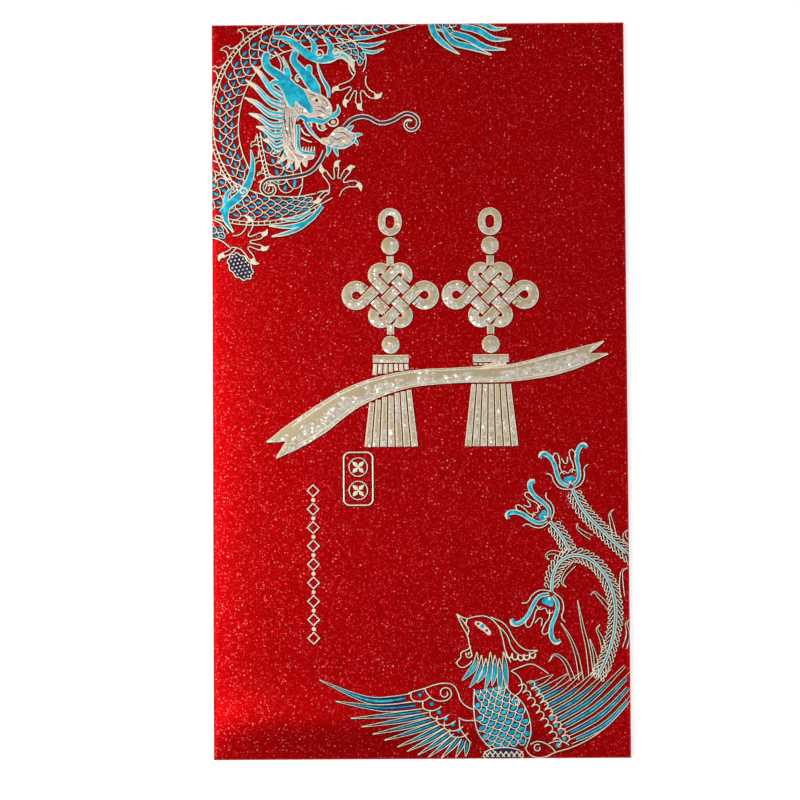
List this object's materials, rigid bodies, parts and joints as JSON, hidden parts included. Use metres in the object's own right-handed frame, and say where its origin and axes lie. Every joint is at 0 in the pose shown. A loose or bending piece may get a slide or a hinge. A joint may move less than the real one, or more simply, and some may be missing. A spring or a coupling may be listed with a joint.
{
  "type": "red envelope",
  "caption": "Flat red card gift envelope with a fold-over closure flap and a banknote pocket, its front stamped with gold and turquoise foil ornaments.",
  "frame": {"origin": "middle of the footprint, on the surface that the closed envelope lies on", "axes": "+Z out of the stamped front, +Y along the envelope towards the fold of the closure flap, +X to the right seen from the front"},
  "size_m": [0.093, 0.165, 0.0022],
  "materials": {
    "red_card": "pearl red card with fine glitter, plain white inside",
    "glue": "set paper glue",
    "champagne_foil": "champagne hologram foil with a cracked mosaic sparkle",
    "gold_foil": "pale gold stamping foil",
    "turquoise_foil": "turquoise stamping foil",
    "navy_print": "dark navy print"
  },
  "bodies": {
    "sleeve": {"front_panel": "red_card", "back_panel": "red_card", "left_fold": "red_card", "right_fold": "red_card", "side_seam_tab": "red_card", "side_seam_glue": "glue", "bottom_fold": "red_card", "bottom_flap": "red_card", "bottom_flap_glue": "glue", "flap_crease": "red_card", "left_knot_foil": "champagne_foil", "right_knot_foil": "champagne_foil", "left_tassel_foil": "champagne_foil", "right_tassel_foil": "champagne_foil", "ribbon_foil": "champagne_foil", "seal_frame_foil": "gold_foil", "seal_flower_foil": "gold_foil", "column_foil": "gold_foil", "dragon_gold_foil": "gold_foil", "dragon_turquoise_foil": "turquoise_foil", "dragon_pearl_print": "navy_print", "phoenix_gold_foil": "gold_foil", "phoenix_turquoise_foil": "turquoise_foil"},
    "flap": {"closure_flap": "red_card"}
  },
  "joints": [
    {"name": "flap_fold", "type": "hinge", "parent": "sleeve", "child": "flap", "pos_m": [0, 0.0814, 0.0011], "axis": [1, 0, 0], "range_deg": [0, 175], "deforming": ["flap_crease"]}
  ]
}
